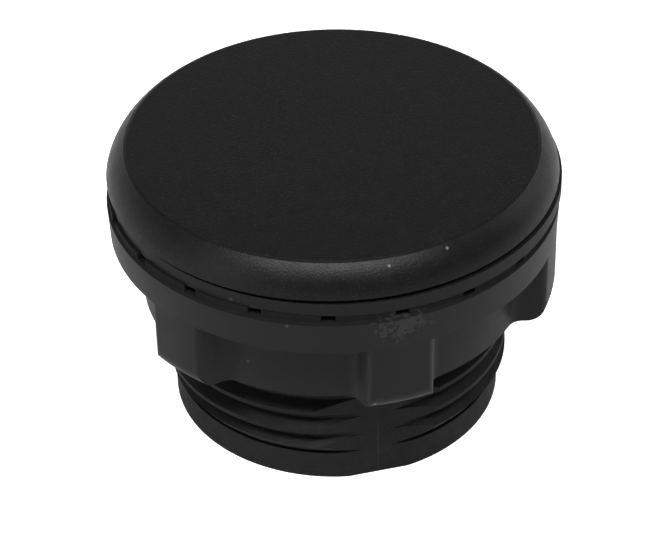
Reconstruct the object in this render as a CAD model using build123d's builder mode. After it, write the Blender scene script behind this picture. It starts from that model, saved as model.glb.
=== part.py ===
"""Screw-in blanking plug for a 22.5 mm panel hole: plug body, sealing gasket and ring nut.

The plug stands on the open end of its shank. +Z runs up the shank to the head, the origin is on
the axis at the shank's end, and the two flats across the thread face -Y and +Y.
"""

import os
from math import cos, hypot, radians, sin, tan

from build123d import *

# --- Driving dimensions, in millimetres and degrees ---------------------------------------------

# Head
head_radius = 14.05
head_height = 2.1
face_radius = 12.8
rim_bulge = 0.2
rim_lip = 0.2
face_edge_break = 0.1

# Shank
shank_length = 16.5
core_radius = 10.3
shank_wall = 1.6
head_thickness = 2.0
end_edge_break = 0.08
bore_mouth_break = 0.3
flat_distance = 10.25

# Thread
thread_pitch = 1.5
thread_depth = 0.7
crest_width = 0.3
root_width = 0.3
band_height = 2.0
band_step = 0.2
lead_in_height = 1.0
head_relief = 1.2
thread_phase = 0.055
thread_sink = 0.06
ridge_gap = 0.03

# Running clearances of the nut on the thread
thread_radial_clearance = 0.3
thread_axial_clearance = 0.1

# Gasket
gasket_radius = 14.0
gasket_thickness = 0.85
gasket_bore_clearance = 0.35
gasket_drift = 0.22
gasket_drift_angle = -14.0
gasket_head_gap = 0.1

# Ring nut
nut_radius = 14.15
nut_height = 7.5
nut_flange_height = 2.3
nut_side_taper = 0.1
nut_turn = 2.2
recess_radius = 12.2
lobe_count = 6
lobe_radius = 14.05
lobe_face_width = 3.9
lobe_flank_angle = 12.0
lobe_root_fillet = 1.0
lobe_edge_fillet = 0.5
lobe_end_fillet = 1.1
lobe_root_radius = 6.1
lobe_overshoot = 1.0
nut_edge_break = 0.15
nut_thread_margin = 0.05

# Toothed rim on top of the nut
tooth_ring_height = 0.45
tooth_ring_step = 0.15
tooth_ring_width = 1.5
notch_count = 20
notch_width = 0.85

# --- Sizes worked out from them -----------------------------------------------------------------

crest_radius = core_radius + thread_depth
band_radius = core_radius + band_step
bore_radius = core_radius - shank_wall
bore_depth = shank_length + head_height - head_thickness
thread_top = shank_length - head_relief
flank_slope = (thread_pitch - crest_width - root_width) / 2 / thread_depth
shank_ridge_start = thread_phase + thread_pitch
shank_turns = (thread_top - shank_ridge_start) / thread_pitch + 1

gasket_bore_radius = crest_radius + gasket_bore_clearance
gasket_top = shank_length - gasket_head_gap
gasket_bottom = gasket_top - gasket_thickness
drift_x = gasket_drift * cos(radians(gasket_drift_angle))
drift_y = gasket_drift * sin(radians(gasket_drift_angle))

nut_top = gasket_bottom
nut_bottom = nut_top - nut_height
flange_top = nut_top - tooth_ring_height
flange_bottom = flange_top - nut_flange_height
nut_bore_radius = core_radius + thread_radial_clearance
nut_root_radius = crest_radius + thread_radial_clearance
nut_thread_bottom = nut_bottom + nut_thread_margin
nut_thread_top = flange_top - nut_thread_margin
nut_lead_in = nut_root_radius - nut_bore_radius + thread_sink
nut_turns = (nut_thread_top - nut_thread_bottom) / thread_pitch + 2
nut_phase = (thread_phase + thread_pitch / 2 - nut_thread_bottom) % thread_pitch
nut_ridge_start = nut_thread_bottom - thread_pitch + nut_phase
nut_thread_reach = nut_root_radius + 2 * thread_sink
tooth_ring_radius = nut_radius - tooth_ring_step

front = -90.0


def shank_ridge_half(radius):
    """Half the width of the shank's ridge at a radius."""
    return crest_width / 2 + flank_slope * (crest_radius - radius)


def nut_ridge_half(radius):
    """Half the width of the nut's ridge at a radius: what the shank's ridge and the clearance leave."""
    return thread_pitch / 2 - shank_ridge_half(radius) - thread_axial_clearance


def helical_ridge(root_radius, tip_radius, half_width, start, turns):
    """One ridge of the thread, swept along a right-hand helix that starts on +X at that height.

    The root lies a little inside the wall that carries it. Its turns keep a small gap between them,
    because turns that met each other would spoil the solid.
    """
    root_half = min(half_width(root_radius), (thread_pitch - ridge_gap) / 2)
    tip_half = half_width(tip_radius)
    with BuildPart() as ridge:
        with BuildLine():
            Helix(pitch=thread_pitch, height=thread_pitch * turns, radius=root_radius, center=(0, 0, start))
        with BuildSketch(Plane.XZ):
            with BuildLine():
                Polyline(
                    (root_radius, start - root_half),
                    (tip_radius, start - tip_half),
                    (tip_radius, start + tip_half),
                    (root_radius, start + root_half),
                    close=True,
                )
            make_face()
        sweep(is_frenet=True)
    return ridge.part


# --- Threads, each trimmed to its own length before it joins its wall ---------------------------

# the shank's ridge ends under the head, and fades into the plain band over a cone
with BuildPart() as shank_thread:
    with BuildSketch(Plane.XZ):
        with BuildLine():
            Polyline(
                (0, band_height),
                (core_radius, band_height),
                (core_radius + 2 * thread_depth, band_height + 2 * lead_in_height),
                (core_radius + 2 * thread_depth, thread_top),
                (0, thread_top),
                close=True,
            )
        make_face()
    revolve(axis=Axis.Z)
    shank_ridge = helical_ridge(
        core_radius - thread_sink, crest_radius, shank_ridge_half, shank_ridge_start, shank_turns
    )
    add(shank_ridge, mode=Mode.INTERSECT)

# the nut's ridge lies half a pitch above the shank's, and is cut back by a cone at each end
with BuildPart() as nut_thread:
    with BuildSketch(Plane.XZ):
        with BuildLine():
            Polyline(
                (nut_thread_reach, nut_thread_bottom),
                (nut_root_radius, nut_thread_bottom),
                (nut_bore_radius - thread_sink, nut_thread_bottom + nut_lead_in),
                (nut_bore_radius - thread_sink, nut_thread_top - nut_lead_in),
                (nut_root_radius, nut_thread_top),
                (nut_thread_reach, nut_thread_top),
                close=True,
            )
        make_face()
    revolve(axis=Axis.Z)
    nut_ridge = helical_ridge(
        nut_root_radius + thread_sink, nut_bore_radius, nut_ridge_half, nut_ridge_start, nut_turns
    )
    add(nut_ridge, mode=Mode.INTERSECT)

# --- Plug body: head, hollow shank and interrupted thread ---------------------------------------

with BuildPart() as plug_body:
    with BuildSketch(Plane.XZ):
        with BuildLine():
            Polyline(
                (0, shank_length + head_height),
                (0, 0),
                (band_radius, 0),
                (band_radius, band_height),
                (core_radius, band_height),
                (core_radius, shank_length),
                (head_radius - rim_lip, shank_length),
            )
            Line((head_radius - rim_lip, shank_length), (head_radius, shank_length + rim_lip))
            SagittaArc(
                (head_radius, shank_length + rim_lip),
                (face_radius, shank_length + head_height),
                -rim_bulge,
            )
            Line((face_radius, shank_length + head_height), (0, shank_length + head_height))
        make_face()
    revolve(axis=Axis.Z)
    head_rim = plug_body.edges().filter_by(GeomType.CIRCLE).group_by(Axis.Z)[-1]
    chamfer(head_rim, face_edge_break)
    shank_end = plug_body.edges().filter_by(GeomType.CIRCLE).group_by(Axis.Z)[0]
    chamfer(shank_end, end_edge_break)

    add(shank_thread.part)

    # the two flats where the halves of the mould meet
    with BuildSketch(Plane.XY):
        for side in (-1, 1):
            with Locations((0, side * (flat_distance + thread_depth))):
                Rectangle(2 * crest_radius, 2 * thread_depth)
    extrude(amount=shank_length, mode=Mode.SUBTRACT)

    # hollow shank, open at its end, with a broken edge at its mouth
    with BuildSketch(Plane.XZ):
        with BuildLine():
            Polyline(
                (0, 0),
                (bore_radius + bore_mouth_break, 0),
                (bore_radius, bore_mouth_break),
                (bore_radius, bore_depth),
                (0, bore_depth),
                close=True,
            )
        make_face()
    revolve(axis=Axis.Z, mode=Mode.SUBTRACT)

# --- Gasket: a flat ring that lies on the nut, a little off the axis ----------------------------

with BuildPart() as gasket:
    with BuildSketch(Plane.XY.offset(gasket_bottom)):
        with Locations((drift_x, drift_y)):
            Circle(gasket_radius)
            Circle(gasket_bore_radius, mode=Mode.SUBTRACT)
    extrude(amount=gasket_thickness)

# --- Ring nut: flange, grip lobes, toothed rim and internal thread ------------------------------

lobe_root_half = lobe_face_width / 2 + (lobe_radius - lobe_root_radius) * tan(radians(lobe_flank_angle))

with BuildPart() as ring_nut:
    # skirt with its grip lobes
    with BuildSketch(Plane.XY.offset(nut_bottom)) as grip:
        Circle(recess_radius)
        with PolarLocations(0, lobe_count, start_angle=front + nut_turn):
            Polygon(
                (lobe_root_radius, -lobe_root_half),
                (lobe_radius, -lobe_face_width / 2),
                (lobe_radius + lobe_overshoot, -lobe_face_width / 2),
                (lobe_radius + lobe_overshoot, lobe_face_width / 2),
                (lobe_radius, lobe_face_width / 2),
                (lobe_root_radius, lobe_root_half),
                align=None,
            )
        Circle(lobe_radius, mode=Mode.INTERSECT)
        lobe_roots = grip.vertices().filter_by(
            lambda corner: abs(hypot(corner.X, corner.Y) - recess_radius) < lobe_edge_fillet
        )
        fillet(lobe_roots, lobe_root_fillet)
        lobe_corners = grip.vertices().filter_by(
            lambda corner: abs(hypot(corner.X, corner.Y) - lobe_radius) < lobe_edge_fillet
        )
        fillet(lobe_corners, lobe_edge_fillet)
    extrude(amount=flange_bottom - nut_bottom)

    # the lobes' lower ends are rounded towards the outside
    with BuildSketch(Plane.XZ):
        with BuildLine():
            Polyline(
                (lobe_radius, nut_bottom + lobe_end_fillet),
                (lobe_radius, flange_top),
                (0, flange_top),
                (0, nut_bottom),
                (lobe_radius - lobe_end_fillet, nut_bottom),
            )
            RadiusArc(
                (lobe_radius, nut_bottom + lobe_end_fillet),
                (lobe_radius - lobe_end_fillet, nut_bottom),
                lobe_end_fillet,
            )
        make_face()
    revolve(axis=Axis.Z, mode=Mode.INTERSECT)

    # plain flange, a little narrower at its lower edge
    with BuildSketch(Plane.XZ):
        with BuildLine():
            Polyline(
                (0, flange_bottom),
                (nut_radius - nut_side_taper, flange_bottom),
                (nut_radius, flange_top),
                (0, flange_top),
                close=True,
            )
        make_face()
    revolve(axis=Axis.Z)
    flange_rim = ring_nut.edges().filter_by(GeomType.CIRCLE).group_by(Axis.Z)[-1]
    chamfer(flange_rim, nut_edge_break)

    # raised ring under the gasket, cut into teeth
    with BuildSketch(Plane.XY.offset(flange_top)):
        Circle(tooth_ring_radius)
        Circle(tooth_ring_radius - tooth_ring_width, mode=Mode.SUBTRACT)
    extrude(amount=tooth_ring_height)
    with BuildSketch(Plane.XY.offset(flange_top)):
        with PolarLocations(tooth_ring_radius, notch_count, start_angle=front + nut_turn):
            Rectangle(2 * tooth_ring_width + tooth_ring_step, notch_width)
    extrude(amount=tooth_ring_height, mode=Mode.SUBTRACT)

    # bore at the thread's full depth, with the ridge standing in from its wall
    with BuildSketch(Plane.XY.offset(nut_bottom)):
        Circle(nut_root_radius)
    extrude(amount=nut_height, mode=Mode.SUBTRACT)
    add(nut_thread.part)

# --- Write the parts ----------------------------------------------------------------------------

os.makedirs("parts", exist_ok=True)
plug_body.part.label = "plug_body"
gasket.part.label = "gasket"
ring_nut.part.label = "ring_nut"
export_step(plug_body.part, "parts/plug_body.step")
export_step(gasket.part, "parts/gasket.step")
export_step(ring_nut.part, "parts/ring_nut.step")
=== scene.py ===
# %% [markdown]
# # A screw-in hole plug
#
# The plug closes a round hole in a panel. It has a plug body with a matt flat head, a rounded rim and
# a hollow threaded shank, a thin rubber gasket, and a ring nut with six grip lobes. This notebook
# gives those pieces their finishes, and sets up the floor, the lamps and the camera.
#
# The measured model comes first.

from math import cos, radians, sin

import bmesh
import bpy
from mathutils import Matrix, Vector


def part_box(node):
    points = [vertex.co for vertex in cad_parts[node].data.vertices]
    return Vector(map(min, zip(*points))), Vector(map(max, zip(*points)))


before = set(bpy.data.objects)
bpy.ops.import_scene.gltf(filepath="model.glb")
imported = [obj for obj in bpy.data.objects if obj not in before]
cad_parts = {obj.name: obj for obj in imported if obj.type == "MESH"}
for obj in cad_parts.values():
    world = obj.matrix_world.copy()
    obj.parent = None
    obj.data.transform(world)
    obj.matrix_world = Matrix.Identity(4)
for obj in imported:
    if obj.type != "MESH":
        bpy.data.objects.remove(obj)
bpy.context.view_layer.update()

# %% [markdown]
# ## Measures that the finishes share
#
# The head's lower edge and the top of the nut split the plug into bands, and each band has its
# own finish. They are read from the boxes of the pieces, so they follow the model.

# %% Read the levels
gasket_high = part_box("gasket")[1]
nut_low, nut_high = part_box("ring_nut")
head_level = gasket_high.z
print(f"head from {head_level * 1000:.2f} mm, nut from {nut_low.z * 1000:.2f} to {nut_high.z * 1000:.2f} mm")


# %% [markdown]
# ## Helpers for the node trees
#
# A material is a small tree of nodes. Three helpers keep the cells short: one adds a node and
# sets its values, one joins two sockets, and one starts a node group with named sockets. A Mix node
# keeps hidden sockets for numbers and vectors too, so its colour sockets are found by number.

# %% Node helpers
def add_node(tree, kind, **values):
    """Add a node of a kind, and set its properties and the values of its unlinked inputs."""
    node = tree.nodes.new(kind)
    for name, value in values.items():
        if name in node.bl_rna.properties:
            setattr(node, name, value)
        else:
            node.inputs[name.replace("_", " ")].default_value = value
    return node


def join(tree, source, target):
    """Link an output socket to an input socket."""
    tree.links.new(source, target)


def start_group(name, inputs, outputs):
    """A node group with (name, type, default) inputs and (name, type) outputs."""
    group = bpy.data.node_groups.new(name, "ShaderNodeTree")
    for label, kind, default in inputs:
        socket = group.interface.new_socket(label, in_out="INPUT", socket_type=kind)
        socket.default_value = default
    for label, kind in outputs:
        group.interface.new_socket(label, in_out="OUTPUT", socket_type=kind)
    return group, group.nodes.new("NodeGroupInput"), group.nodes.new("NodeGroupOutput")


mix_under, mix_over, mix_result = 6, 7, 2
print("node helpers ready")

# %% [markdown]
# ## Spark-eroded grain
#
# The mould of the head was spark-eroded, which leaves tiny pits of one size all over. Fine noise gives their
# height, and its highest peaks are painted as paler specks: painted glints, in place of the light that the
# pits catch.
# Broad noise makes the shade a little uneven. An image could do this too, but noise has no seams and
# no repeats. It is one group, used coarser or finer on each piece.

# %% Build the grain group
broad_share = 0.12
noise_middle = 0.5
glint_start, glint_full = 0.60, 0.74
grain_group, grain_in, grain_out = start_group(
    "mould_grain",
    [("Size", "NodeSocketFloat", 9000.0), ("Unevenness", "NodeSocketFloat", 0.3)],
    [("Height", "NodeSocketFloat"), ("Shade", "NodeSocketFloat"), ("Painted glints", "NodeSocketFloat")],
)
grain_place = add_node(grain_group, "ShaderNodeTexCoord")
fine_pits = add_node(grain_group, "ShaderNodeTexNoise", Detail=2.0, Roughness=0.6)
broad_pits = add_node(grain_group, "ShaderNodeTexNoise", Detail=3.0, Roughness=0.5)
broad_size = add_node(grain_group, "ShaderNodeMath", operation="MULTIPLY")
broad_size.inputs[1].default_value = broad_share
join(grain_group, grain_place.outputs["Object"], fine_pits.inputs["Vector"])
join(grain_group, grain_place.outputs["Object"], broad_pits.inputs["Vector"])
join(grain_group, grain_in.outputs["Size"], fine_pits.inputs["Scale"])
join(grain_group, grain_in.outputs["Size"], broad_size.inputs[0])
join(grain_group, broad_size.outputs[0], broad_pits.inputs["Scale"])
join(grain_group, fine_pits.outputs["Fac"], grain_out.inputs["Height"])
shade_swing = add_node(grain_group, "ShaderNodeMath", operation="SUBTRACT")
shade_swing.inputs[1].default_value = noise_middle
shade_scaled = add_node(grain_group, "ShaderNodeMath", operation="MULTIPLY_ADD")
shade_scaled.inputs[2].default_value = 1.0
join(grain_group, broad_pits.outputs["Fac"], shade_swing.inputs[0])
join(grain_group, shade_swing.outputs[0], shade_scaled.inputs[0])
join(grain_group, grain_in.outputs["Unevenness"], shade_scaled.inputs[1])
join(grain_group, shade_scaled.outputs[0], grain_out.inputs["Shade"])
# painted glints: the highest peaks of the fine noise become a mask for a paler colour, standing in for light
# caught by the pits
glint_peaks = add_node(
    grain_group,
    "ShaderNodeMapRange",
    interpolation_type="SMOOTHSTEP",
    From_Min=glint_start,
    From_Max=glint_full,
)
join(grain_group, fine_pits.outputs["Fac"], glint_peaks.inputs["Value"])
join(grain_group, glint_peaks.outputs["Result"], grain_out.inputs["Painted glints"])
print("grain group:", len(grain_group.nodes), "nodes")

# %% [markdown]
# ## Marks from moulding and handling
#
# The nut was fed with plastic at its flange, and the stub was cut off there, which left a rough grey
# scar. A few dust specks and small flaws are spread over the plug. Each mark is a blob around a
# place: the distance to that place, in units of the mark's own reach, with noise added to it. A
# little noise makes the edge ragged, and a lot breaks the whole blob up into spots.

# %% Build the mark group
ragged_scale = 4000.0
solid_inside = 0.6
mark_group, mark_in, mark_out = start_group(
    "surface_mark",
    [
        ("Centre", "NodeSocketVector", (0.0, 0.0, 0.0)),
        ("Reach", "NodeSocketVector", (0.001, 0.001, 0.001)),
        ("Ragged", "NodeSocketFloat", 0.4),
    ],
    [("Mask", "NodeSocketFloat")],
)
mark_place = add_node(mark_group, "ShaderNodeTexCoord")
mark_offset = add_node(mark_group, "ShaderNodeVectorMath", operation="SUBTRACT")
mark_scaled = add_node(mark_group, "ShaderNodeVectorMath", operation="DIVIDE")
mark_far = add_node(mark_group, "ShaderNodeVectorMath", operation="LENGTH")
mark_noise = add_node(mark_group, "ShaderNodeTexNoise", Scale=ragged_scale, Detail=2.0)
mark_swing = add_node(mark_group, "ShaderNodeMath", operation="SUBTRACT")
mark_swing.inputs[1].default_value = noise_middle
mark_edge = add_node(mark_group, "ShaderNodeMath", operation="MULTIPLY_ADD")
mark_fade = add_node(
    mark_group, "ShaderNodeMapRange", interpolation_type="SMOOTHSTEP", From_Min=1.0, From_Max=solid_inside
)
join(mark_group, mark_place.outputs["Object"], mark_offset.inputs[0])
join(mark_group, mark_in.outputs["Centre"], mark_offset.inputs[1])
join(mark_group, mark_offset.outputs[0], mark_scaled.inputs[0])
join(mark_group, mark_in.outputs["Reach"], mark_scaled.inputs[1])
join(mark_group, mark_scaled.outputs[0], mark_far.inputs[0])
join(mark_group, mark_place.outputs["Object"], mark_noise.inputs["Vector"])
join(mark_group, mark_noise.outputs["Fac"], mark_swing.inputs[0])
join(mark_group, mark_swing.outputs[0], mark_edge.inputs[0])
join(mark_group, mark_in.outputs["Ragged"], mark_edge.inputs[1])
join(mark_group, mark_far.outputs["Value"], mark_edge.inputs[2])
join(mark_group, mark_edge.outputs[0], mark_fade.inputs["Value"])
join(mark_group, mark_fade.outputs["Result"], mark_out.inputs["Mask"])
print("mark group:", len(mark_group.nodes), "nodes")


# %% [markdown]
# ## A moulded black plastic
#
# All three pieces are black, so the difference is in the gloss and in the grain. One helper
# builds a material from a colour, a roughness and a grain, and each piece gives its own values. Its
# height goes through a Bump node, because pits this small are too many to be modelled.

# %% Build a plastic
def black_plastic(name, colour, glint_colour, roughness, grain_size, grain_depth, unevenness, specular):
    """A black moulded plastic with a fine grain, whose highest points are painted a little paler as painted
    glints.
    """
    material = bpy.data.materials.new(name)
    material.use_nodes = True
    tree = material.node_tree
    shader = tree.nodes["Principled BSDF"]
    shader.inputs["Specular IOR Level"].default_value = specular
    grain = add_node(tree, "ShaderNodeGroup", node_tree=grain_group, label="grain")
    grain.inputs["Size"].default_value = grain_size
    grain.inputs["Unevenness"].default_value = unevenness
    tint = add_node(tree, "ShaderNodeVectorMath", operation="SCALE")
    tint.inputs[0].default_value = colour
    specked = add_node(tree, "ShaderNodeMix", data_type="RGBA")
    join(tree, grain.outputs["Shade"], tint.inputs["Scale"])
    join(tree, tint.outputs[0], specked.inputs[mix_under])
    # painted glints: the grain's peaks mix the colour towards a paler one, in place of light caught by the
    # pits
    specked.inputs[mix_over].default_value = (*glint_colour, 1.0)
    join(tree, grain.outputs["Painted glints"], specked.inputs["Factor"])
    join(tree, specked.outputs[mix_result], shader.inputs["Base Color"])
    rough = add_node(tree, "ShaderNodeMath", operation="MULTIPLY")
    rough.inputs[1].default_value = roughness
    join(tree, grain.outputs["Shade"], rough.inputs[0])
    join(tree, rough.outputs[0], shader.inputs["Roughness"])
    bump = add_node(tree, "ShaderNodeBump", Distance=grain_depth, Strength=1.0)
    join(tree, grain.outputs["Height"], bump.inputs["Height"])
    join(tree, bump.outputs["Normal"], shader.inputs["Normal"])
    return material


# each piece's speck colour is the paler colour of its painted glints
plug_plastic = black_plastic(
    "plug_plastic",
    colour=(0.0028, 0.0028, 0.0029),
    glint_colour=(0.015, 0.015, 0.015),
    roughness=0.41,
    grain_size=9000.0,
    grain_depth=0.000017,
    unevenness=0.45,
    specular=0.17,
)
nut_plastic = black_plastic(
    "nut_plastic",
    colour=(0.0040, 0.0040, 0.0041),
    glint_colour=(0.007, 0.007, 0.007),
    roughness=0.50,
    grain_size=6000.0,
    grain_depth=0.000006,
    unevenness=0.25,
    specular=0.15,
)
gasket_rubber = black_plastic(
    "gasket_rubber",
    colour=(0.0055, 0.0055, 0.0056),
    glint_colour=(0.010, 0.010, 0.010),
    roughness=0.55,
    grain_size=5000.0,
    grain_depth=0.000004,
    unevenness=0.2,
    specular=0.12,
)
print("materials:", [m.name for m in (plug_plastic, nut_plastic, gasket_rubber)])

# %% [markdown]
# ## Rougher zones
#
# Parts of one moulding can come from differently finished faces of the mould. The shank is duller
# than the head, and the nut's upper edge with its teeth is duller than its flange. Each piece is
# one mesh with one material, so its roughness changes with the height on the piece.

# %% Change the roughness with height
def dull_zone(material, start, end, factor_below, factor_above):
    """Scale a material's roughness by one factor below a height and another above it."""
    tree = material.node_tree
    target = tree.nodes["Principled BSDF"].inputs["Roughness"]
    plain = target.links[0].from_socket
    place = add_node(tree, "ShaderNodeTexCoord")
    split = add_node(tree, "ShaderNodeSeparateXYZ")
    ramp = add_node(
        tree, "ShaderNodeMapRange", From_Min=start, From_Max=end, To_Min=factor_below, To_Max=factor_above
    )
    scaled = add_node(tree, "ShaderNodeMath", operation="MULTIPLY", use_clamp=True)
    join(tree, place.outputs["Object"], split.inputs[0])
    join(tree, split.outputs["Z"], ramp.inputs["Value"])
    join(tree, plain, scaled.inputs[0])
    join(tree, ramp.outputs["Result"], scaled.inputs[1])
    join(tree, scaled.outputs[0], target)


shank_dullness = 1.6
teeth_dullness = 1.8
shank_blend = 0.0002
teeth_below_top, teeth_blend = 0.00067, 0.00006
teeth_foot = nut_high.z - teeth_below_top
dull_zone(plug_plastic, head_level - shank_blend, head_level, shank_dullness, 1.0)
dull_zone(nut_plastic, teeth_foot, teeth_foot + teeth_blend, 1.0, teeth_dullness)
print("duller zones on the shank and on the nut's teeth")

# %% [markdown]
# ## Put the marks on
#
# A mark is laid over a finished material: its mask mixes the colour towards the mark's own colour,
# just before the shader. Places are in metres on the model.

# %% Lay the marks over the materials
def lay_mark(material, centre, reach, ragged, colour):
    """Mix a colour over a material's own, inside a soft blob around a place."""
    tree = material.node_tree
    base = tree.nodes["Principled BSDF"].inputs["Base Color"]
    below = base.links[0].from_socket
    mark = add_node(tree, "ShaderNodeGroup", node_tree=mark_group, label="mark")
    mark.inputs["Centre"].default_value = centre
    mark.inputs["Reach"].default_value = reach
    mark.inputs["Ragged"].default_value = ragged
    over = add_node(tree, "ShaderNodeMix", data_type="RGBA")
    over.inputs[mix_over].default_value = (*colour, 1.0)
    join(tree, mark.outputs["Mask"], over.inputs["Factor"])
    join(tree, below, over.inputs[mix_under])
    join(tree, over.outputs[mix_result], base)


scar_grey = (0.015, 0.015, 0.015)
dust_grey = (0.10, 0.10, 0.097)
faint_dust = (0.035, 0.035, 0.034)
flaw_black = (0.002, 0.002, 0.002)
witness_grey = (0.011, 0.011, 0.011)
dust_reach = (0.00012, 0.00012, 0.00012)
flaw_reach = (0.0002, 0.0002, 0.0002)
scar_reach = (0.0014, 0.0012, 0.0008)
witness_reach = (0.00006, 0.0004, 0.0026)
smooth, round_edge, ragged_edge, broken_up = 0.0, 0.3, 1.0, 5.0

# the scar of the feed, the line where the mould halves meet, and a flaw in one pocket of the nut
lay_mark(nut_plastic, (0.0005, -0.01415, 0.0145), scar_reach, broken_up, scar_grey)
lay_mark(plug_plastic, (0.0, -0.01025, 0.0024), witness_reach, smooth, witness_grey)
lay_mark(nut_plastic, (-0.00224, -0.01205, 0.01101), flaw_reach, round_edge, flaw_black)

# dust on the head's rim, on the nut and on the gasket
for material, place, ragged, dust in (
    (plug_plastic, (0.0036, -0.01258, 0.01833), round_edge, dust_grey),
    (plug_plastic, (-0.00007, -0.01318, 0.01821), round_edge, dust_grey),
    (nut_plastic, (-0.00116, -0.01389, 0.00867), round_edge, dust_grey),
    (nut_plastic, (-0.00611, -0.01271, 0.01476), ragged_edge, faint_dust),
    (nut_plastic, (-0.00783, -0.00932, 0.00988), ragged_edge, faint_dust),
    (gasket_rubber, (-0.00893, -0.01062, 0.01578), ragged_edge, faint_dust),
):
    lay_mark(material, place, dust_reach, ragged, dust)
print("marks laid")

# %% [markdown]
# ## Dress the pieces
#
# The measured pieces already have the right shape, so each keeps its mesh and only gets its
# material in its first slot.

# %% Give the pieces their materials
for node, material in (("plug_body", plug_plastic), ("ring_nut", nut_plastic), ("gasket", gasket_rubber)):
    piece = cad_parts[node]
    piece.data.materials.clear()
    piece.data.materials.append(material)
    print(node, "gets", material.name, "on", len(piece.data.polygons), "faces")

# %% [markdown]
# ## Floor
#
# The plug stands on a plain pale floor. To the camera it also glows, so that it is plain white, and
# a little of that glow shows in reflections. To everything else it is a pale surface, so that it
# takes the plug's soft shadow and throws no extra light on the plug.

# %% Lay the floor
floor_half = 0.6
floor_pale = 0.75
glow_to_camera = 0.75
glow_in_reflections = 0.1
floor_mesh = bpy.data.meshes.new("floor")
floor_form = bmesh.new()
bmesh.ops.create_grid(floor_form, x_segments=1, y_segments=1, size=floor_half)
floor_form.to_mesh(floor_mesh)
floor_form.free()
floor = bpy.data.objects.new("floor", floor_mesh)
bpy.context.scene.collection.objects.link(floor)

floor_paint = bpy.data.materials.new("floor_paint")
floor_paint.use_nodes = True
floor_tree = floor_paint.node_tree
floor_shader = floor_tree.nodes["Principled BSDF"]
floor_shader.inputs["Base Color"].default_value = (floor_pale, floor_pale, floor_pale, 1.0)
floor_shader.inputs["Roughness"].default_value = 0.9
floor_shader.inputs["Specular IOR Level"].default_value = 0.0
floor_shader.inputs["Emission Color"].default_value = (1.0, 1.0, 1.0, 1.0)
floor_rays = add_node(floor_tree, "ShaderNodeLightPath")
floor_mirror = add_node(floor_tree, "ShaderNodeMath", operation="MAXIMUM")
floor_shiny = add_node(floor_tree, "ShaderNodeMath", operation="MULTIPLY")
floor_shiny.inputs[1].default_value = glow_in_reflections
floor_glow = add_node(floor_tree, "ShaderNodeMath", operation="MULTIPLY_ADD")
floor_glow.inputs[1].default_value = glow_to_camera
join(floor_tree, floor_rays.outputs["Is Glossy Ray"], floor_mirror.inputs[0])
join(floor_tree, floor_rays.outputs["Is Transmission Ray"], floor_mirror.inputs[1])
join(floor_tree, floor_mirror.outputs[0], floor_shiny.inputs[0])
join(floor_tree, floor_rays.outputs["Is Camera Ray"], floor_glow.inputs[0])
join(floor_tree, floor_shiny.outputs[0], floor_glow.inputs[2])
join(floor_tree, floor_glow.outputs[0], floor_shader.inputs["Emission Strength"])
floor_mesh.materials.append(floor_paint)
print("floor", floor_half * 2, "m wide")

# %% [markdown]
# ## Lamps
#
# Soft studio light. The main lamp is wide and low, and hangs high in front, so that its reflection
# runs along the rounded rim of the head as a bright band and misses the flat top. A weak one hangs
# over the plug, and two more fill in the sides.

# %% Hang the lamps
def hang_lamp(name, place, target, width, height, power):
    """A rectangular lamp at a place, facing a target, in metres and watts."""
    light = bpy.data.lights.new(name, "AREA")
    light.shape = "RECTANGLE"
    light.size, light.size_y = width, height
    light.energy = power
    lamp = bpy.data.objects.new(name, light)
    lamp.location = place
    lamp.rotation_euler = (Vector(target) - Vector(place)).to_track_quat("-Z", "Y").to_euler()
    bpy.context.scene.collection.objects.link(lamp)
    return lamp


middle = (0.0, 0.0, 0.01)
hang_lamp("front_lamp", (-0.05, -0.175, 0.375), middle, 0.40, 0.11, 2.7)
hang_lamp("overhead_lamp", (0.0, 0.05, 0.5), middle, 0.35, 0.35, 0.3)
hang_lamp("right_lamp", (0.4, 0.05, 0.2), middle, 0.2, 0.25, 0.3)
hang_lamp("left_lamp", (-0.4, -0.15, 0.15), middle, 0.2, 0.25, 0.4)

# %% [markdown]
# ## Room
#
# The room is white to the camera. In reflections it is white behind the plug and low down, as a
# studio's backdrop is, and dim above and in front, where the studio is dark. A room that is white
# all round would lift a black piece to grey. Its light on the plug itself is weak.

# %% Build the room
room_dim = 0.15
backdrop_front, backdrop_back = -0.1, 0.5
backdrop_top, backdrop_foot = 0.5, 0.15
world = bpy.data.worlds.new("room")
world.use_nodes = True
bpy.context.scene.world = world
world_tree = world.node_tree
room = world_tree.nodes["Background"]
room_rays = add_node(world_tree, "ShaderNodeLightPath")
room_way = add_node(world_tree, "ShaderNodeTexCoord")
room_split = add_node(world_tree, "ShaderNodeSeparateXYZ")
room_back, room_low = (
    add_node(world_tree, "ShaderNodeMapRange", interpolation_type="SMOOTHSTEP", From_Min=start, From_Max=end)
    for start, end in ((backdrop_front, backdrop_back), (backdrop_top, backdrop_foot))
)
room_screen = add_node(world_tree, "ShaderNodeMath", operation="MULTIPLY")
room_shiny = add_node(world_tree, "ShaderNodeMath", operation="MAXIMUM")
room_mirror = add_node(world_tree, "ShaderNodeMath", operation="MULTIPLY")
room_seen = add_node(world_tree, "ShaderNodeMath", operation="MAXIMUM")
room_level = add_node(world_tree, "ShaderNodeMath", operation="MULTIPLY_ADD")
room_level.inputs[1].default_value = 1.0 - room_dim
room_level.inputs[2].default_value = room_dim
join(world_tree, room_way.outputs["Generated"], room_split.inputs[0])
join(world_tree, room_split.outputs["Y"], room_back.inputs["Value"])
join(world_tree, room_split.outputs["Z"], room_low.inputs["Value"])
join(world_tree, room_back.outputs["Result"], room_screen.inputs[0])
join(world_tree, room_low.outputs["Result"], room_screen.inputs[1])
join(world_tree, room_rays.outputs["Is Glossy Ray"], room_shiny.inputs[0])
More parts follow.
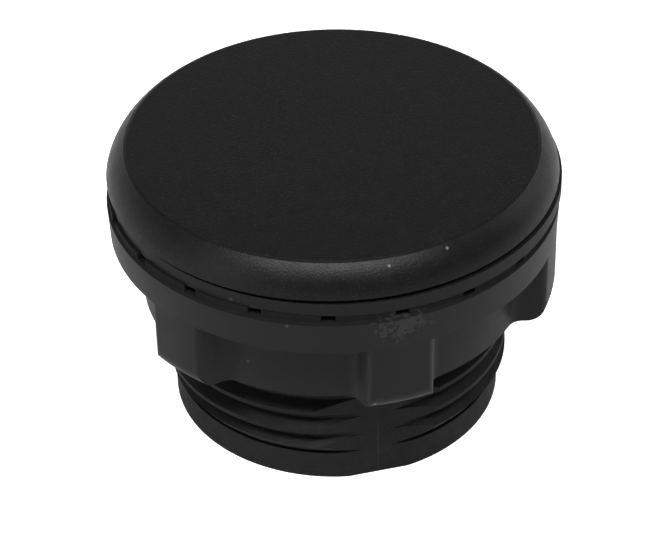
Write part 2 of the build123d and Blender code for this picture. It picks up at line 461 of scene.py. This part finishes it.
join(world_tree, room_rays.outputs["Is Transmission Ray"], room_shiny.inputs[1])
join(world_tree, room_shiny.outputs[0], room_mirror.inputs[0])
join(world_tree, room_screen.outputs[0], room_mirror.inputs[1])
join(world_tree, room_rays.outputs["Is Camera Ray"], room_seen.inputs[0])
join(world_tree, room_mirror.outputs[0], room_seen.inputs[1])
join(world_tree, room_seen.outputs[0], room_level.inputs[0])
join(world_tree, room_level.outputs[0], room.inputs["Strength"])
room.inputs["Color"].default_value = (1.0, 1.0, 1.0, 1.0)
print("room:", len(world_tree.nodes), "nodes")

# %% [markdown]
# ## Camera
#
# The camera stands close to the plug, a little to its left, and looks down on it. Its place is
# worked out from the point that it looks at, on the plug's axis under the head's edge.

# %% Place the camera
camera_pitch = radians(37.01)
camera_turn = radians(-14.0)
camera_roll = radians(-1.146)
camera_distance = 0.15663
head_underside = 0.0165
aim_left = 0.000119
aim_below = 0.006941
lens_width = 36.0
lens_length = 136.3

turn = Matrix.Rotation(camera_turn, 3, "Z")
right = turn @ Vector((1, 0, 0))
up = turn @ Vector((0, sin(camera_pitch), cos(camera_pitch)))
forward = turn @ Vector((0, cos(camera_pitch), -sin(camera_pitch)))
head_edge = Vector((0, 0, head_underside))
camera_place = head_edge - aim_left * right - aim_below * up - camera_distance * forward
rolled_right = cos(camera_roll) * right + sin(camera_roll) * up
rolled_up = cos(camera_roll) * up - sin(camera_roll) * right

camera_data = bpy.data.cameras.new("camera")
camera_data.sensor_width = lens_width
camera_data.lens = lens_length
camera_data.clip_start = 0.01
camera = bpy.data.objects.new("camera", camera_data)
facing = Matrix((rolled_right, rolled_up, -forward)).transposed()
camera.matrix_world = Matrix.Translation(camera_place) @ facing.to_4x4()
bpy.context.scene.collection.objects.link(camera)
bpy.context.scene.camera = camera
bpy.context.scene.view_settings.view_transform = "Standard"
print("camera at", [round(v, 4) for v in camera_place])

# %% [markdown]
# ## Finish
#

# %% Finish
print("scene set up")
